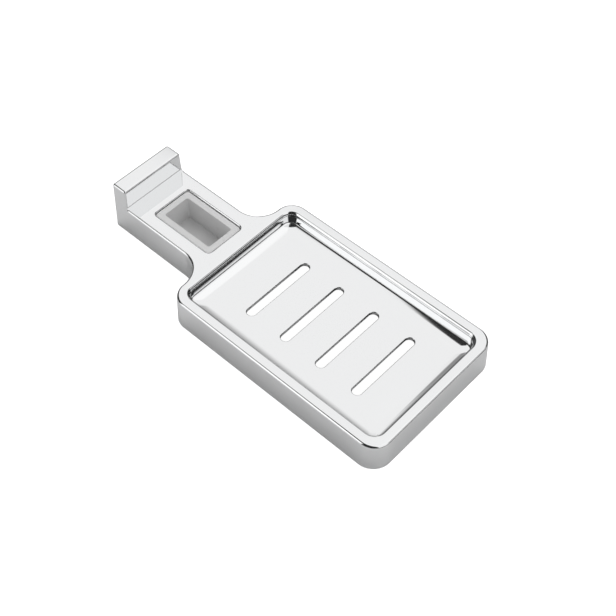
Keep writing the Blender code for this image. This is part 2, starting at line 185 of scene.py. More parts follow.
# Chrome plate: a cloud in its roughness and a swell in its surface.
CHROME_COLOUR = (0.90, 0.905, 0.91, 1.0)
CLOUD_SCALE = 60.0
CLOUD_DETAIL = 3.0
CLOUD_SPREAD = 0.3
SWELL_SCALE = 90.0
SWELL_DETAIL = 1.0
BODY_ROUGHNESS = 0.05
BODY_SWELL = 0.000002
TRAY_ROUGHNESS = 0.06
TRAY_SWELL = 0.000003

# Steel of the screws.
STEEL_COLOUR = (0.62, 0.61, 0.60, 1.0)
STEEL_ROUGHNESS = (0.22, 0.42)
STEEL_GRAIN_SCALE = 1500.0

# Plastic of the liner. Its grey carries painted shade: darker at the floor of the hollow and lighter
# up to its top.
LINER_GREY_WITH_PAINTED_SHADE = (0.66, 0.90)
LINER_ROUGHNESS = 0.5
LINER_GRAIN_SCALE = 2500.0
LINER_GRAIN_STRENGTH = 0.5
LINER_GRAIN_HEIGHT = 0.00003
GRAIN_DETAIL = 2.0

# Floor, and the sheet under the drain slots that glows as painted light.
WHITE = (1.0, 1.0, 1.0, 1.0)
FLOOR_HALF = 3.0
FLOOR_COLOUR = (0.84, 0.84, 0.84, 1.0)
FLOOR_ROUGHNESS = 0.9
FLOOR_LIFT = 0.9
SHEET_LIFT = 0.0002
SHEET_INSET = 0.0024
SHEET_CORNER_RADIUS = 0.003

# Light by direction, in degrees: azimuth counts from the front of the dish towards its far
# side, and elevation from the horizon up. The surroundings are white. Each zone has its
# azimuths from and to with their softness, its elevations likewise, and its change of light.
WORLD_LIGHT = 0.94
BELOW_HORIZON = -5.0
PAST_ZENITH = 95.0
LIGHT_ZONES = [
    # Dark behind the camera.
    ((252.0, 333.0, 3.0), (3.0, PAST_ZENITH, 2.0), -0.97),
    # Dark overhead, from beyond the upstand round to the near side.
    ((166.0, 200.0, 2.0), (50.0, PAST_ZENITH, 2.0), -0.97),
    ((200.0, 229.0, 2.0), (58.5, PAST_ZENITH, 1.0), -0.97),
    ((229.0, 255.0, 2.0), (56.0, PAST_ZENITH, 1.0), -0.97),
    ((144.0, 170.0, 2.0), (68.0, PAST_ZENITH, 0.7), -0.97),
    # Dark beyond the upstand, the far side and the front.
    ((160.0, 220.0, 3.0), (BELOW_HORIZON, 51.0, 2.0), -0.95),
    ((57.0, 106.0, 2.0), (BELOW_HORIZON, 46.0, 2.0), -0.97),
    ((22.0, 56.0, 3.0), (30.0, 42.0, 1.0), -0.97),
    ((-30.0, 60.0, 3.0), (BELOW_HORIZON, 18.0, 1.0), -0.97),
    # Grey between the far side and the upstand.
    ((106.0, 133.5, 2.0), (BELOW_HORIZON, 43.0, 7.0), -0.55),
    ((135.5, 141.5, 2.0), (BELOW_HORIZON, 44.0, 1.5), -0.7),
    ((141.0, 147.0, 2.0), (BELOW_HORIZON, 41.0, 2.0), -0.7),
    ((147.0, 168.0, 3.0), (BELOW_HORIZON, 38.0, 4.0), -0.85),
    # Brighter on the near side and above the far side.
    ((226.0, 252.0, 2.0), (BELOW_HORIZON, 54.0, 3.0), 0.25),
    ((82.0, 124.0, 4.0), (57.5, 76.0, 2.5), 0.12),
]

# A zone's azimuths are counted once round from this far before its start, so that none of
# them lies across the end of the count.
CIRCLE = 360.0
ZONE_MARGIN = 90.0

# Lamps: strength, azimuth and elevation of each, and the width of their light.
LAMPS = [
    (0.6, 131.0, 60.0),
    (0.3, 300.0, 45.0),
]
LAMP_SPREAD = math.radians(60.0)

# Camera, fitted to the edges of the object in the photograph.
PHOTO_SIDE_PX = 616
FOCAL_PX = 1202.2
SENSOR_WIDTH_MM = 36.0
CAMERA_PLACE = (0.27658, -0.27780, 0.49788)
CAMERA_TILT = math.radians(37.88)
CAMERA_TURN = math.radians(42.76)
CAMERA_ROLL = math.radians(-0.09)


def grown(half, amount):
    """Half a length and half a width, each grown by an amount."""
    return tuple(size + amount for size in half)


# Places that follow from the sizes.
QUARTER_TURN = math.pi / 2
X_BACK = -BODY_LENGTH / 2
X_FRONT = BODY_LENGTH / 2
X_SHOULDER = X_FRONT - DISH_LENGTH
X_OPENING = (X_SHOULDER + RIM_NECK_WIDTH, X_FRONT - RIM_FRONT_WIDTH)
OPENING_CENTER_X = sum(X_OPENING) / 2
OPENING_HALF = ((X_OPENING[1] - X_OPENING[0]) / 2, DISH_WIDTH / 2 - RIM_SIDE_WIDTH)
TRAY_HALF = grown(OPENING_HALF, -TRAY_GAP)
TOP_HEIGHT = DECK_HEIGHT + UPSTAND_RISE
UPSTAND_FACE_X = X_BACK + UPSTAND_RISE * math.tan(END_DRAFT) + UPSTAND_THICKNESS
TRAY_TOP = DECK_HEIGHT - TRAY_DEPTH
TRAY_BOTTOM = TRAY_TOP - TRAY_FLOOR
LEDGE_TOP = TRAY_BOTTOM - SEAT_GAP
PILLAR_TOP = TRAY_BOTTOM - TRAY_BOSS_LENGTH - SEAT_GAP
HEAD_POCKET_TOP = RIB_LIFT + SCREW_HEAD_HEIGHT + SEAT_GAP
MOUTH_CENTER_X = X_OPENING[0] - MOUTH_LAND - MOUTH_LENGTH / 2
MOUTH_HALF = (MOUTH_LENGTH / 2, MOUTH_WIDTH / 2)
LINER_TOP = DECK_HEIGHT - LINER_DROP
LINER_FLOOR_TOP = LINER_LIFT + LINER_FLOOR
FLANGE_BOTTOM = LINER_TOP - LINER_FLANGE_THICKNESS
FLANGE_SEAT = FLANGE_BOTTOM - SEAT_GAP
FLANGE_HALF = grown(MOUTH_HALF, -SEAT_GAP)
HOLLOW_HALF = grown(FLANGE_HALF, -LINER_FLANGE_WIDTH)
LINER_HALF = grown(HOLLOW_HALF, LINER_WALL)
SLEEVE_BORE_HALF = grown(LINER_HALF, SEAT_GAP)


# Outlines.

def arc(center, radius, start, sweep, steps):
    """Points of an arc in plan, both ends included."""
    angles = [start + sweep * i / steps for i in range(steps + 1)]
    return [(center[0] + radius * math.cos(a), center[1] + radius * math.sin(a)) for a in angles]


def mirrored(points):
    """A half outline at +Y, from front to back, closed by its mirror image at -Y."""
    return points + [(x, -y) for x, y in reversed(points)]


def rounded_rectangle(center_x, half, radius, steps=SMALL_CORNER_STEPS):
    """A rectangle with round corners, symmetrical about the X axis."""
    radius = min(radius, half[0] - SHORT_EDGE, half[1] - SHORT_EDGE)
    front = (center_x + half[0] - radius, half[1] - radius)
    back = (center_x - half[0] + radius, half[1] - radius)
    return mirrored(arc(front, radius, 0.0, QUARTER_TURN, steps)
                    + arc(back, radius, QUARTER_TURN, QUARTER_TURN, steps))


def body_outline(z):
    """The body's plan at a height: dish, concave shoulders and neck, with draft."""
    end = (DECK_HEIGHT - z) * math.tan(END_DRAFT)
    side = (DECK_HEIGHT - z) * math.tan(SIDE_DRAFT)
    grow = (end + side) / 2
    half_dish = DISH_WIDTH / 2 + side
    half_neck = NECK_WIDTH / 2 + side
    corner = DISH_CORNER_RADIUS + grow
    shoulder = min(SHOULDER_FILLET_RADIUS - grow, half_dish - half_neck - corner)
    neck_corner = NECK_CORNER_RADIUS + grow
    front_corner = (X_FRONT + end - corner, half_dish - corner)
    rear_corner = (X_SHOULDER - end + corner, half_dish - corner)
    hollow = (X_SHOULDER - end - shoulder, half_neck + shoulder)
    end_corner = (X_BACK - end + neck_corner, half_neck - neck_corner)
    points = arc(front_corner, corner, 0.0, QUARTER_TURN, CORNER_STEPS)
    points += arc(rear_corner, corner, QUARTER_TURN, QUARTER_TURN, CORNER_STEPS)
    points += arc(hollow, shoulder, 0.0, -QUARTER_TURN, CORNER_STEPS)[1:]
    points += arc(end_corner, neck_corner, QUARTER_TURN, QUARTER_TURN, SMALL_CORNER_STEPS)
    return mirrored(points)


def quarter_round(radius):
    """Inset and rise along a convex quarter round, from its side to its top."""
    angles = [QUARTER_TURN * i / ROUND_STEPS for i in range(ROUND_STEPS + 1)]
    return [(radius * (1 - math.cos(a)), radius * math.sin(a)) for a in angles]


# Solids.

def mesh_object(name, bm):
    """Turns a bmesh into a named object."""
    bmesh.ops.recalc_face_normals(bm, faces=bm.faces)
    mesh = bpy.data.meshes.new(name)
    bm.to_mesh(mesh)
    bm.free()
    item = bpy.data.objects.new(name, mesh)
    bpy.context.scene.collection.objects.link(item)
    return item


def skinned(name, rings):
    """A closed solid over a stack of rings of points, with a face at each end."""
    bm = bmesh.new()
    stack = [[bm.verts.new(point) for point in ring] for ring in rings]
    for lower, upper in zip(stack, stack[1:]):
        count = len(lower)
        for i in range(count):
            j = (i + 1) % count
            bm.faces.new((lower[i], lower[j], upper[j], upper[i]))
    bm.faces.new(stack[0][::-1])
    bm.faces.new(stack[-1])
    return mesh_object(name, bm)


def loft(name, sections):
    """A closed solid through plan sections, each a list of points and a height."""
    return skinned(name, [[(x, y, z) for x, y in points] for points, z in sections])


def turned(name, center, profile):
    """A solid of revolution about a vertical axis, from a radius and height profile."""
    sections = [(arc(center, radius, 0.0, 2 * math.pi, CYLINDER_STEPS)[:-1], z)
                for radius, z in profile]
    return loft(name, sections)


def box(name, low, high):
    """A plain block between two corners."""
    plan = [(low[0], low[1]), (high[0], low[1]), (high[0], high[1]), (low[0], high[1])]
    return loft(name, [(plan, low[2]), (plan, high[2])])


def flat_sheet(name, outline, z):
    """One level face."""
    bm = bmesh.new()
    bm.faces.new([bm.verts.new((x, y, z)) for x, y in outline])
    return mesh_object(name, bm)


def apply_tools(target, operation, tools):
    """Stacks one Boolean modifier for each tool on the target."""
    for tool in tools:
        modifier = target.modifiers.new(tool.name, "BOOLEAN")
        modifier.operation = operation
        modifier.solver = "EXACT"
        modifier.object = tool
        tool["is_tool"] = True


def cut(target, *tools):
    """Takes the tools away from the target."""
    apply_tools(target, "DIFFERENCE", tools)


def join(target, *tools):
    """Makes the tools part of the target."""
    apply_tools(target, "UNION", tools)


def finished(item):
    """Applies the modifiers, then shades the rounds smooth and keeps the flats flat."""
    bpy.context.view_layer.update()
    graph = bpy.context.evaluated_depsgraph_get()
    mesh = bpy.data.meshes.new_from_object(item.evaluated_get(graph))
    item.modifiers.clear()
    item.data = mesh
    mesh.name = item.name
    for tool in [other for other in bpy.data.objects if other.get("is_tool")]:
        bpy.data.objects.remove(tool, do_unlink=True)
    mesh.materials.clear()
    mesh.shade_smooth()
    mesh.set_sharp_from_angle(angle=SHARP_ANGLE)
    weighted = item.modifiers.new("flat_faces_stay_flat", "WEIGHTED_NORMAL")
    weighted.mode = "FACE_AREA"
    weighted.weight = FLAT_FACE_WEIGHT
    weighted.keep_sharp = True
    return item


def flared_cutter(name, center_x, half, radius, bottom, top, flare):
    """A pocket cutter whose mouth widens upwards by the outsets and depths of its flare."""
    levels = [(0.0, bottom)]
    levels += [(outset, top - depth) for outset, depth in flare]
    levels.append((flare[-1][0], top + OVERCUT))
    sections = [(rounded_rectangle(center_x, grown(half, outset), radius + outset), z)
                for outset, z in levels]
    return loft(name, sections)


def straight_cutter(name, center_x, half, radius):
    """A cutter with upright sides, from below the body to its deck."""
    plan = rounded_rectangle(center_x, half, radius)
    return loft(name, [(plan, -OVERCUT), (plan, DECK_HEIGHT)])


# Body.

def slot_places():
    """X positions of the drain slots."""
    return [SLOT_CENTER_X + SLOT_PITCH * (i - (SLOT_COUNT - 1) / 2) for i in range(SLOT_COUNT)]


def rib_places():
    """X positions of the ribs, which stand midway between the slots."""
    first = SLOT_CENTER_X - SLOT_PITCH * SLOT_COUNT / 2
    return [first + SLOT_PITCH * i for i in range(SLOT_COUNT + 1)]


def screw_places():
    """Plan positions of the two tray screws, on the first and the last rib."""
    places = rib_places()
    return [(places[0], 0.0), (places[-1], 0.0)]


def deck_cutter():
    """Everything above the deck in front of the upstand, with the fillet at its foot."""
    radius = min(FOOT_FILLET_RADIUS, UPSTAND_RISE - EDGE_ROUND)
    center = (UPSTAND_FACE_X + radius, DECK_HEIGHT + radius)
    far_x = X_FRONT + DISH_WIDTH
    above = TOP_HEIGHT + OVERCUT
    profile = arc(center, radius, math.pi, QUARTER_TURN, COVE_STEPS)
    profile += [(far_x, DECK_HEIGHT), (far_x, above), (UPSTAND_FACE_X, above)]
    rings = [[(x, y, z) for x, z in profile] for y in (-DISH_WIDTH, DISH_WIDTH)]
    return skinned("deck_cutter", rings)


def round_outer_edges(body):
    """Rounds the upper edges of the body."""
    rounding = body.modifiers.new("edge_round", "BEVEL")
    rounding.width = EDGE_ROUND
    rounding.segments = ROUND_STEPS
    rounding.limit_method = "ANGLE"
    rounding.angle_limit = ROUNDED_ANGLE


def stretch_below_rest_plane():
    """The lowest stretch of the body's loft, which is cut off level."""
    return box("below_rest_plane", (-BODY_LENGTH, -DISH_WIDTH, -2 * OVERCUT),
               (BODY_LENGTH, DISH_WIDTH, 0.0))


def foot_cutter():
    """Takes the fillet off the foot of the upstand."""
    return box("upstand_corner", (UPSTAND_FACE_X + FOOT_SKIM, -DISH_WIDTH, DECK_HEIGHT + FOOT_SKIM),
               (UPSTAND_FACE_X + 2 * EDGE_ROUND, DISH_WIDTH, TOP_HEIGHT + OVERCUT))


def rim_flare():
    """The inner edge of the rim: a wide round below and a tighter one at its crest."""
    turn = math.sin(OPENING_CREST_TILT)
    crest_depth = OPENING_CREST_RADIUS * (1 - math.cos(OPENING_CREST_TILT))
    deep = OPENING_EDGE_RADIUS * math.cos(OPENING_CREST_TILT) + crest_depth
    flare = []
    for step in range(RIM_STEPS + 1):
        tilt = QUARTER_TURN + (OPENING_CREST_TILT - QUARTER_TURN) * step / RIM_STEPS
        outset = OPENING_EDGE_RADIUS * (1 - math.sin(tilt))
        flare.append((outset, deep - OPENING_EDGE_RADIUS * math.cos(tilt)))
    for step in range(1, ROUND_STEPS + 1):
        tilt = OPENING_CREST_TILT * (1 - step / ROUND_STEPS)
        outset = OPENING_EDGE_RADIUS * (1 - turn) + OPENING_CREST_RADIUS * (turn - math.sin(tilt))
        flare.append((outset, OPENING_CREST_RADIUS * (1 - math.cos(tilt))))
    return flare


def dish_opening():
    """The opening that the tray drops into, down to the ledge that carries it."""
    return flared_cutter("dish_opening", OPENING_CENTER_X, OPENING_HALF, OPENING_CORNER_RADIUS,
                         LEDGE_TOP, DECK_HEIGHT, rim_flare())


def drafted_cavity(name, x_range, half_width, radius, top):
    """A cavity open below whose walls follow the draft of the outside."""
    sections = []
    for z in (-OVERCUT, top):
        side = (DECK_HEIGHT - z) * math.tan(SIDE_DRAFT)
        half = ((x_range[1] - x_range[0]) / 2, half_width + side)
        sections.append((rounded_rectangle(sum(x_range) / 2, half, radius), z))
    return loft(name, sections)


def dish_cavity():
    """The hollow under the ledge that carries the tray."""
    return drafted_cavity("dish_cavity", (X_SHOULDER + BODY_WALL, X_FRONT - BODY_WALL),
                          DISH_WIDTH / 2 - BODY_WALL, DISH_CORNER_RADIUS - BODY_WALL,
                          LEDGE_TOP - LEDGE_THICKNESS)


def neck_cavity():
    """The hollow of the neck, which leaves the sleeve of the socket standing."""
    cavity = drafted_cavity("neck_cavity", (X_BACK + BODY_WALL, X_SHOULDER),
                            NECK_WIDTH / 2 - BODY_WALL, INNER_CORNER_RADIUS,
                            DECK_HEIGHT - DECK_THICKNESS)
    upper = rounded_rectangle(MOUTH_CENTER_X, grown(MOUTH_HALF, SLEEVE_WALL),
                              MOUTH_CORNER_RADIUS + SLEEVE_WALL)
    lower = rounded_rectangle(MOUTH_CENTER_X, grown(SLEEVE_BORE_HALF, SLEEVE_WALL),
                              LINER_CORNER_RADIUS + SLEEVE_WALL)
    collar = loft("sleeve_collar", [(upper, FLANGE_SEAT - SLEEVE_WALL), (upper, TOP_HEIGHT)])
    sleeve = loft("sleeve_core", [(lower, SLEEVE_LIFT), (lower, TOP_HEIGHT)])
    cut(cavity, collar, sleeve)
    return cavity


def upstand_cavity():
    """The core that keeps the walls of the upstand about as thin as the rest."""
    return drafted_cavity("upstand_cavity",
                          (X_BACK + UPSTAND_WALL, UPSTAND_FACE_X - UPSTAND_WALL),
                          NECK_WIDTH / 2 - UPSTAND_WALL, INNER_CORNER_RADIUS,
                          TOP_HEIGHT - UPSTAND_WALL)


def rib(index, x):
    """A cross rib from wall to wall that the tray lies on."""
    half = RIB_THICKNESS / 2
    reach = DISH_WIDTH / 2 - BODY_WALL / 2
    return box(f"rib_{index}", (x - half, -reach, RIB_LIFT), (x + half, reach, LEDGE_TOP))


def screw_pillar(index, center):
    """The round stretch of a rib that a tray screw passes through."""
    profile = [(PILLAR_RADIUS, RIB_LIFT), (PILLAR_RADIUS, LEDGE_TOP)]
    return turned(f"screw_pillar_{index}", center, profile)


def screw_passage(index, center):
    """Room for the tray boss above, the shank, and the screw head below."""
    boss = TRAY_BOSS_RADIUS + SEAT_GAP
    shank = SCREW_SHANK_RADIUS + SEAT_GAP
    head = SCREW_HEAD_RADIUS + SEAT_GAP
    profile = [(head, RIB_LIFT - OVERCUT), (head, HEAD_POCKET_TOP), (shank, HEAD_POCKET_TOP),
               (shank, PILLAR_TOP), (boss, PILLAR_TOP), (boss, TRAY_TOP)]
    return turned(f"screw_passage_{index}", center, profile)


def socket_mouth():
    """The mouth of the socket with its rounded edge, down to the seat of the liner."""
    flare = [(outset, MOUTH_EDGE_ROUND - rise) for outset, rise in quarter_round(MOUTH_EDGE_ROUND)]
    return flared_cutter("mouth", MOUTH_CENTER_X, MOUTH_HALF, MOUTH_CORNER_RADIUS,
                         FLANGE_SEAT, DECK_HEIGHT, flare)


def make_body():
    """The chrome body: rim, neck, upstand, and the ribbed underside."""
    body = loft("body_shell", [(body_outline(z), z) for z in (-OVERCUT, TOP_HEIGHT)])
    cut(body, deck_cutter())
    round_outer_edges(body)
    cut(body, stretch_below_rest_plane(), foot_cutter(), dish_opening())
    cut(body, straight_cutter("ledge_opening", OPENING_CENTER_X, grown(OPENING_HALF, -LEDGE_WIDTH),
                              OPENING_CORNER_RADIUS))
    cut(body, dish_cavity(), neck_cavity(), upstand_cavity())
    join(body, *[rib(i, x) for i, x in enumerate(rib_places())])
    join(body, *[screw_pillar(i, place) for i, place in enumerate(screw_places())])
    cut(body, *[screw_passage(i, place) for i, place in enumerate(screw_places())])
    cut(body, socket_mouth())
    cut(body, straight_cutter("sleeve_bore", MOUTH_CENTER_X, SLEEVE_BORE_HALF,
                              LINER_CORNER_RADIUS + SEAT_GAP))
    return finished(body)


# Tray.

def tray_section(inset, z):
    """One level of the tray, inset from the outline that fits the opening."""
    radius = max(OPENING_CORNER_RADIUS - TRAY_GAP - inset, TRAY_CORNER_RADIUS)
    return rounded_rectangle(OPENING_CENTER_X, grown(TRAY_HALF, -inset), radius, CORNER_STEPS), z


def floor_profile():
    """Inset and height from the tray's upright side through its foot to the flat floor."""
    bends = [(TRAY_FOOT_RADIUS, QUARTER_TURN, TRAY_FOOT_TILT, ROUND_STEPS),
             (TRAY_FLARE_RADIUS, TRAY_FOOT_TILT, TRAY_RISE_TILT, ROUND_STEPS),
             (TRAY_RISE_RADIUS, TRAY_RISE_TILT, TRAY_DISH_TILT, ROUND_STEPS),
             (TRAY_DISH_RADIUS, TRAY_DISH_TILT, 0.0, COVE_STEPS)]
    climb = sum(radius * (math.cos(low) - math.cos(high)) for radius, high, low, steps in bends)
    inset = TRAY_LIP_WIDTH
    height = TRAY_TOP + climb
    points = [(inset, height)]
    for radius, high, low, steps in bends:
        for step in range(1, steps + 1):
            tilt = high + (low - high) * step / steps
            points.append((inset + radius * (math.sin(high) - math.sin(tilt)),
                           height - radius * (math.cos(tilt) - math.cos(high))))
        inset, height = points[-1]
    return points


def tray_boss(index, center):
    """The boss under the tray that a screw is driven into."""
    profile = [(TRAY_BOSS_RADIUS, TRAY_BOTTOM - TRAY_BOSS_LENGTH),
               (TRAY_BOSS_RADIUS, TRAY_BOTTOM + TRAY_FLOOR / 2)]
    return turned(f"tray_boss_{index}", center, profile)


def tray_pilot(index, center):
    """The blind pilot hole in a boss."""
    radius = SCREW_SHANK_RADIUS + SEAT_GAP
    profile = [(radius, TRAY_BOTTOM - TRAY_BOSS_LENGTH - OVERCUT), (radius, TRAY_TOP - PILOT_SKIN)]
    return turned(f"tray_pilot_{index}", center, profile)


def slot_cutter(index, x):
    """A round-ended drain slot with a small round on its upper edge."""
    reach = SLOT_LENGTH / 2 - SLOT_WIDTH / 2
    levels = [(0.0, TRAY_BOTTOM - OVERCUT)]
    levels += [(outset, TRAY_TOP - SLOT_EDGE_ROUND + rise)
               for outset, rise in quarter_round(SLOT_EDGE_ROUND)]
    levels.append((SLOT_EDGE_ROUND, TRAY_TOP + OVERCUT))
    sections = []
    for outset, z in levels:
        radius = SLOT_WIDTH / 2 + outset
        plan = arc((x, reach), radius, 0.0, math.pi, CORNER_STEPS)
        plan += arc((x, -reach), radius, math.pi, math.pi, CORNER_STEPS)
        sections.append((plan, z))
    return loft(f"slot_{index}", sections)


def make_tray():
    """The drop-in tray: flat floor, coved sides, a fine lip and four drain slots."""
    lip_edge = [(inset, DECK_HEIGHT - TRAY_LIP_DROP - TRAY_EDGE_ROUND + rise)
                for inset, rise in quarter_round(TRAY_EDGE_ROUND)]
    sections = [tray_section(TRAY_EDGE_ROUND, TRAY_BOTTOM),
                tray_section(0.0, TRAY_BOTTOM + TRAY_EDGE_ROUND)]
    sections += [tray_section(inset, z) for inset, z in lip_edge]
    sections += [tray_section(TRAY_LIP_WIDTH - inset, z) for inset, z in reversed(lip_edge)]
    sections += [tray_section(inset, z) for inset, z in floor_profile()]
    tray = loft("tray", sections)
    for i, place in enumerate(screw_places()):
        join(tray, tray_boss(i, place))
        cut(tray, tray_pilot(i, place))
    cut(tray, *[slot_cutter(i, x) for i, x in enumerate(slot_places())])
    return finished(tray)


# Liner.

def liner_section(half, radius, z):
    """One level of the socket liner."""
    return rounded_rectangle(MOUTH_CENTER_X, half, radius), z


def make_barb(index, x, side):
    """A wedge on the liner that clicks under the lower edge of the sleeve."""
    inner = LINER_HALF[1] - LINER_WALL / 2
    root = LINER_HALF[1]
    tip = root + SEAT_GAP + BARB_REACH
    top = SLEEVE_LIFT - SEAT_GAP
    bottom = top - BARB_HEIGHT
    profile = [(inner, bottom), (root, bottom), (tip, top - BARB_NOSE), (tip, top), (inner, top)]
    ends = (x - BARB_LENGTH / 2, x + BARB_LENGTH / 2)
    return skinned(f"barb_{index}", [[(end, side * y, z) for y, z in profile] for end in ends])


def make_liner():
    """The grey socket liner: flange, tapered blind hollow and snap barbs."""
    outer_radius = LINER_CORNER_RADIUS + LINER_WALL
    flange_radius = MOUTH_CORNER_RADIUS - SEAT_GAP
    edge = [(inset, LINER_TOP - LINER_EDGE_ROUND + rise)
            for inset, rise in quarter_round(LINER_EDGE_ROUND)]
    taper = (LINER_TOP - LINER_FLOOR_TOP) * math.tan(LINER_DRAFT)
    sections = [liner_section(LINER_HALF, outer_radius, LINER_LIFT),
                liner_section(LINER_HALF, outer_radius, FLANGE_BOTTOM),
                liner_section(FLANGE_HALF, flange_radius, FLANGE_BOTTOM)]
    sections += [liner_section(grown(FLANGE_HALF, -inset), flange_radius - inset, z)
                 for inset, z in edge]
    sections += [liner_section(grown(HOLLOW_HALF, inset), LINER_CORNER_RADIUS + inset, z)
                 for inset, z in reversed(edge)]
    sections.append(liner_section(grown(HOLLOW_HALF, -taper), LINER_CORNER_RADIUS, LINER_FLOOR_TOP))
    liner = loft("liner", sections)
    places = [(x, side) for x in (-BARB_SPACING / 2, BARB_SPACING / 2) for side in (-1, 1)]
    join(liner, *[make_barb(i, MOUTH_CENTER_X + x, side) for i, (x, side) in enumerate(places)])
    return finished(liner)


# Screws.

def screw_recess(screw_name, center):
    """The two crossed slots of a screw head, open below."""
    long = SCREW_RECESS_LENGTH / 2
    narrow = SCREW_RECESS_WIDTH / 2
    tools = []
    for name, half_x, half_y in (("along", long, narrow), ("across", narrow, long)):
        low = (center[0] - half_x, center[1] - half_y, RIB_LIFT - OVERCUT)
        high = (center[0] + half_x, center[1] + half_y, RIB_LIFT + SCREW_RECESS_DEPTH)
        tools.append(box(f"{screw_name}_recess_{name}", low, high))
    return tools


def make_screw(name, center):
    """A pan-head screw that stands on its rounded crown."""
    head_top = RIB_LIFT + SCREW_HEAD_HEIGHT
    end = TRAY_TOP - PILOT_SKIN - SEAT_GAP
    shank_end = end - (SCREW_SHANK_RADIUS - SCREW_POINT_RADIUS)
    profile = []
    for step in range(ROUND_STEPS + 1):
        tilt = QUARTER_TURN * step / ROUND_STEPS
        profile.append((SCREW_FACE_RADIUS + (SCREW_HEAD_RADIUS - SCREW_FACE_RADIUS) * math.sin(tilt),
                        RIB_LIFT + SCREW_CROWN_HEIGHT * (1 - math.cos(tilt))))
    profile += [(SCREW_HEAD_RADIUS, head_top), (SCREW_SHANK_RADIUS, head_top),
                (SCREW_SHANK_RADIUS, shank_end), (SCREW_POINT_RADIUS, end)]
    screw = turned(name, center, profile)
    cut(screw, *screw_recess(name, center))
    return finished(screw)


# Nodes.

def math_node(tree, operation, *values):
    """The result of an operation on values, which are numbers or other results."""
    node = tree.nodes.new("ShaderNodeMath")
    node.operation = operation
    for socket, value in zip(node.inputs, values):
        if isinstance(value, (int, float)):
            socket.default_value = value
        else:
            tree.links.new(value, socket)
    return node.outputs["Value"]


def map_range(tree, value, source, target, interpolation="LINEAR"):
    """A value moved from its source range to its target range."""
    node = tree.nodes.new("ShaderNodeMapRange")
    node.interpolation_type = interpolation
    node.inputs["From Min"].default_value = source[0]
    node.inputs["From Max"].default_value = source[1]
    node.inputs["To Min"].default_value = target[0]
    node.inputs["To Max"].default_value = target[1]
    tree.links.new(value, node.inputs["Value"])
    return node.outputs["Result"]


def piece_place(tree):
    """The place of a point on its piece."""
    return tree.nodes.new("ShaderNodeTexCoord").outputs["Object"]


def noise(tree, scale, detail):
    """Cloudy noise all over a piece, from 0 to 1."""
    cloud = tree.nodes.new("ShaderNodeTexNoise")
    cloud.inputs["Scale"].default_value = scale
    cloud.inputs["Detail"].default_value = detail
    tree.links.new(piece_place(tree), cloud.inputs["Vector"])
    return cloud.outputs["Fac"]


def add_relief(tree, shader, height, strength, distance):
    """Gives a shader the fine relief of a height map."""
    bump = tree.nodes.new("ShaderNodeBump")
    bump.inputs["Strength"].default_value = strength
    bump.inputs["Distance"].default_value = distance
    tree.links.new(height, bump.inputs["Height"])
    tree.links.new(bump.outputs["Normal"], shader.inputs["Normal"])


def seen_straight(tree):
    """1 for a ray from the camera, through glass too, and 0 for a mirrored or scattered one."""
    path = tree.nodes.new("ShaderNodeLightPath")
    return math_node(tree, "MAXIMUM", path.outputs["Is Camera Ray"],
                     path.outputs["Is Transmission Ray"])


# Materials.

def new_material(name):
    """A material, its node tree and its shader."""
    material = bpy.data.materials.new(name)
    material.use_nodes = True
    tree = material.node_tree
    return material, tree, tree.nodes["Principled BSDF"]


def make_chrome(name, roughness, swell):
    """Polished chrome plate with the faint unevenness of its plating."""
    material, tree, shader = new_material(name)
    shader.inputs["Metallic"].default_value = 1.0
    shader.inputs["Base Color"].default_value = CHROME_COLOUR
    cloud = noise(tree, CLOUD_SCALE, CLOUD_DETAIL)
    uneven = map_range(tree, cloud, (0.0, 1.0),
                       (roughness * (1 - CLOUD_SPREAD), roughness * (1 + CLOUD_SPREAD)))
    tree.links.new(uneven, shader.inputs["Roughness"])
    add_relief(tree, shader, noise(tree, SWELL_SCALE, SWELL_DETAIL), 1.0, swell)
    return material


def make_screw_steel():
    """Plain stainless steel with a fine grain."""
    material, tree, shader = new_material("screw_steel_fine")
    shader.inputs["Metallic"].default_value = 1.0
    shader.inputs["Base Color"].default_value = STEEL_COLOUR
    grain = noise(tree, STEEL_GRAIN_SCALE, GRAIN_DETAIL)
    uneven = map_range(tree, grain, (0.0, 1.0), STEEL_ROUGHNESS)
    tree.links.new(uneven, shader.inputs["Roughness"])
    return material


def make_liner_plastic():
    """Matte grey moulding with a fine grain, and painted shade that darkens it towards the floor of
    the hollow and lightens it towards the mouth.
    """
    material, tree, shader = new_material("liner_grey")
    shader.inputs["Roughness"].default_value = LINER_ROUGHNESS
    level = tree.nodes.new("ShaderNodeSeparateXYZ")
    tree.links.new(piece_place(tree), level.inputs["Vector"])
    # Painted shade: the grey runs from dark at the floor of the hollow to light at its top.
    grey_and_painted_shade = map_range(tree, level.outputs["Z"], (LINER_FLOOR_TOP, LINER_TOP), LINER_GREY_WITH_PAINTED_SHADE)
    tree.links.new(grey_and_painted_shade, shader.inputs["Base Color"])
    grain = noise(tree, LINER_GRAIN_SCALE, GRAIN_DETAIL)
    add_relief(tree, shader, grain, LINER_GRAIN_STRENGTH, LINER_GRAIN_HEIGHT)
    return material


# Floor and light. Only what is seen straight is lifted to white: the walls of the dish mirror
# plain grey paper, as they do in the photograph.

def make_floor():
    """The pale floor, a wide square of paper."""
    corners = [(-FLOOR_HALF, -FLOOR_HALF), (FLOOR_HALF, -FLOOR_HALF),
               (FLOOR_HALF, FLOOR_HALF), (-FLOOR_HALF, FLOOR_HALF)]
    floor = flat_sheet("floor", corners, 0.0)
    material, tree, shader = new_material("floor_paper")
    shader.inputs["Base Color"].default_value = FLOOR_COLOUR
    shader.inputs["Roughness"].default_value = FLOOR_ROUGHNESS
    shader.inputs["Specular IOR Level"].default_value = 0.0
    shader.inputs["Emission Color"].default_value = WHITE
    lift = math_node(tree, "MULTIPLY", seen_straight(tree), FLOOR_LIFT)
    tree.links.new(lift, shader.inputs["Emission Strength"])
    floor.data.materials.append(material)


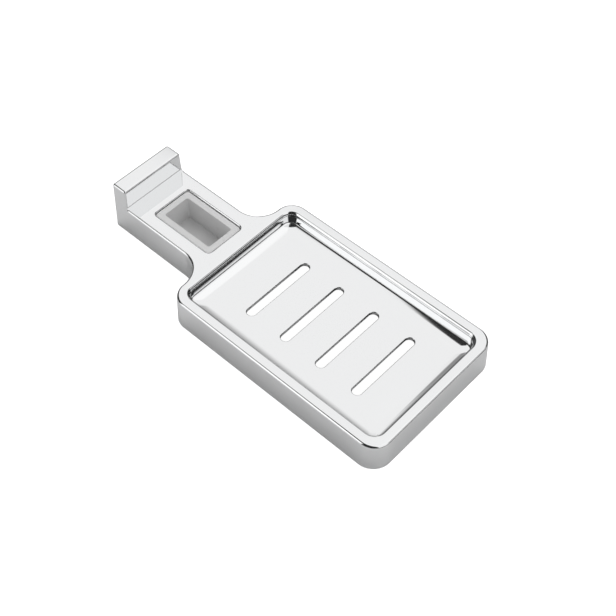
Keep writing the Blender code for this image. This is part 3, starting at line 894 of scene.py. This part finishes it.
def make_painted_glow_sheet():
    """A sheet under the dish that glows white for straight rays though it is no lamp: painted light
    over the dish's shadow, seen through the drain slots.
    """
    outline = rounded_rectangle(OPENING_CENTER_X, grown(OPENING_HALF, -SHEET_INSET),
                                SHEET_CORNER_RADIUS)
    sheet = flat_sheet("light_table", outline, SHEET_LIFT)
    material, tree, shader = new_material("light_table_paper")
    glow = tree.nodes.new("ShaderNodeEmission")
    mix = tree.nodes.new("ShaderNodeMixShader")
    # Painted light: straight rays see a white glow here instead of the shaded floor under the dish.
    tree.links.new(seen_straight(tree), mix.inputs["Fac"])
    tree.links.new(shader.outputs["BSDF"], mix.inputs[1])
    tree.links.new(glow.outputs["Emission"], mix.inputs[2])
    tree.links.new(mix.outputs["Shader"], tree.nodes["Material Output"].inputs["Surface"])
    sheet.data.materials.append(material)


def direction(azimuth, elevation):
    """A unit vector; azimuth counts from +X towards +Y."""
    a, e = math.radians(azimuth), math.radians(elevation)
    return (math.cos(a) * math.cos(e), math.sin(a) * math.cos(e), math.sin(e))


def window(tree, value, low, high, soft):
    """1 between low and high and 0 outside, with soft ends."""
    rise = map_range(tree, value, (low - soft, low + soft), (0.0, 1.0), "SMOOTHSTEP")
    fall = map_range(tree, value, (high - soft, high + soft), (0.0, 1.0), "SMOOTHSTEP")
    return math_node(tree, "SUBTRACT", rise, fall)


def make_world():
    """White surroundings with the dark gaps of a photographer's studio, told by direction."""
    world = bpy.data.worlds.new("studio")
    bpy.context.scene.world = world
    world.use_nodes = True
    tree = world.node_tree
    split = tree.nodes.new("ShaderNodeSeparateXYZ")
    place = tree.nodes.new("ShaderNodeTexCoord")
    tree.links.new(place.outputs["Generated"], split.inputs["Vector"])
    x, y, z = split.outputs
    azimuth = math_node(tree, "DEGREES", math_node(tree, "ARCTAN2", y, x))
    elevation = math_node(tree, "DEGREES", math_node(tree, "ARCSINE", z))
    light = 1.0
    for azimuths, elevations, change in LIGHT_ZONES:
        start = azimuths[0] - ZONE_MARGIN
        around = math_node(tree, "WRAP", azimuth, start + CIRCLE, start)
        inside = math_node(tree, "MULTIPLY", window(tree, around, *azimuths),
                           window(tree, elevation, *elevations))
        factor = math_node(tree, "ADD", 1.0, math_node(tree, "MULTIPLY", inside, change))
        light = math_node(tree, "MULTIPLY", light, factor)
    background = tree.nodes["Background"]
    background.inputs["Color"].default_value = WHITE
    tree.links.new(math_node(tree, "MULTIPLY", light, WORLD_LIGHT), background.inputs["Strength"])


def make_lamps():
    """Soft lamps for the floor and the matte liner, which the chrome doesn't mirror."""
    for i, (strength, azimuth, elevation) in enumerate(LAMPS):
        name = f"soft_lamp_{i}"
        lamp_data = bpy.data.lights.new(name, "SUN")
        lamp_data.energy = strength
        lamp_data.angle = LAMP_SPREAD
        lamp = bpy.data.objects.new(name, lamp_data)
        away = Vector(direction(azimuth, elevation))
        lamp.rotation_euler = away.to_track_quat("Z", "Y").to_euler()
        lamp.visible_glossy = False
        bpy.context.scene.collection.objects.link(lamp)


def make_camera():
    """The camera at the photograph's place and angle."""
    camera_data = bpy.data.cameras.new("camera")
    camera_data.sensor_width = SENSOR_WIDTH_MM
    camera_data.lens = FOCAL_PX / PHOTO_SIDE_PX * SENSOR_WIDTH_MM
    camera = bpy.data.objects.new("camera", camera_data)
    camera.location = CAMERA_PLACE
    aim = Euler((CAMERA_TILT, 0.0, CAMERA_TURN)).to_matrix()
    camera.rotation_euler = (aim @ Matrix.Rotation(CAMERA_ROLL, 3, "Z")).to_euler()
    bpy.context.scene.collection.objects.link(camera)
    bpy.context.scene.camera = camera


def dress():
    """Makes each piece, gives it its material, and lets it stand for its plain solid."""
    body = make_body()
    body.data.materials.append(make_chrome("chrome", BODY_ROUGHNESS, BODY_SWELL))
    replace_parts(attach(body, "root"), "dish_body")
    tray = make_tray()
    tray.data.materials.append(make_chrome("tray_chrome", TRAY_ROUGHNESS, TRAY_SWELL))
    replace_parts(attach(tray, "root"), "soap_tray")
    liner = make_liner()
    liner.data.materials.append(make_liner_plastic())
    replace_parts(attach(liner, "root"), "socket_liner")
    steel = make_screw_steel()
    for end, place in zip(("rear", "front"), screw_places()):
        screw = make_screw(f"fine_screw_{end}", place)
        screw.data.materials.append(steel)
        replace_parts(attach(screw, "root"), f"tray_screw_{end}")


make_camera()
make_floor()
make_painted_glow_sheet()
make_world()
make_lamps()
dress()
bpy.context.scene.view_settings.view_transform = "Standard"
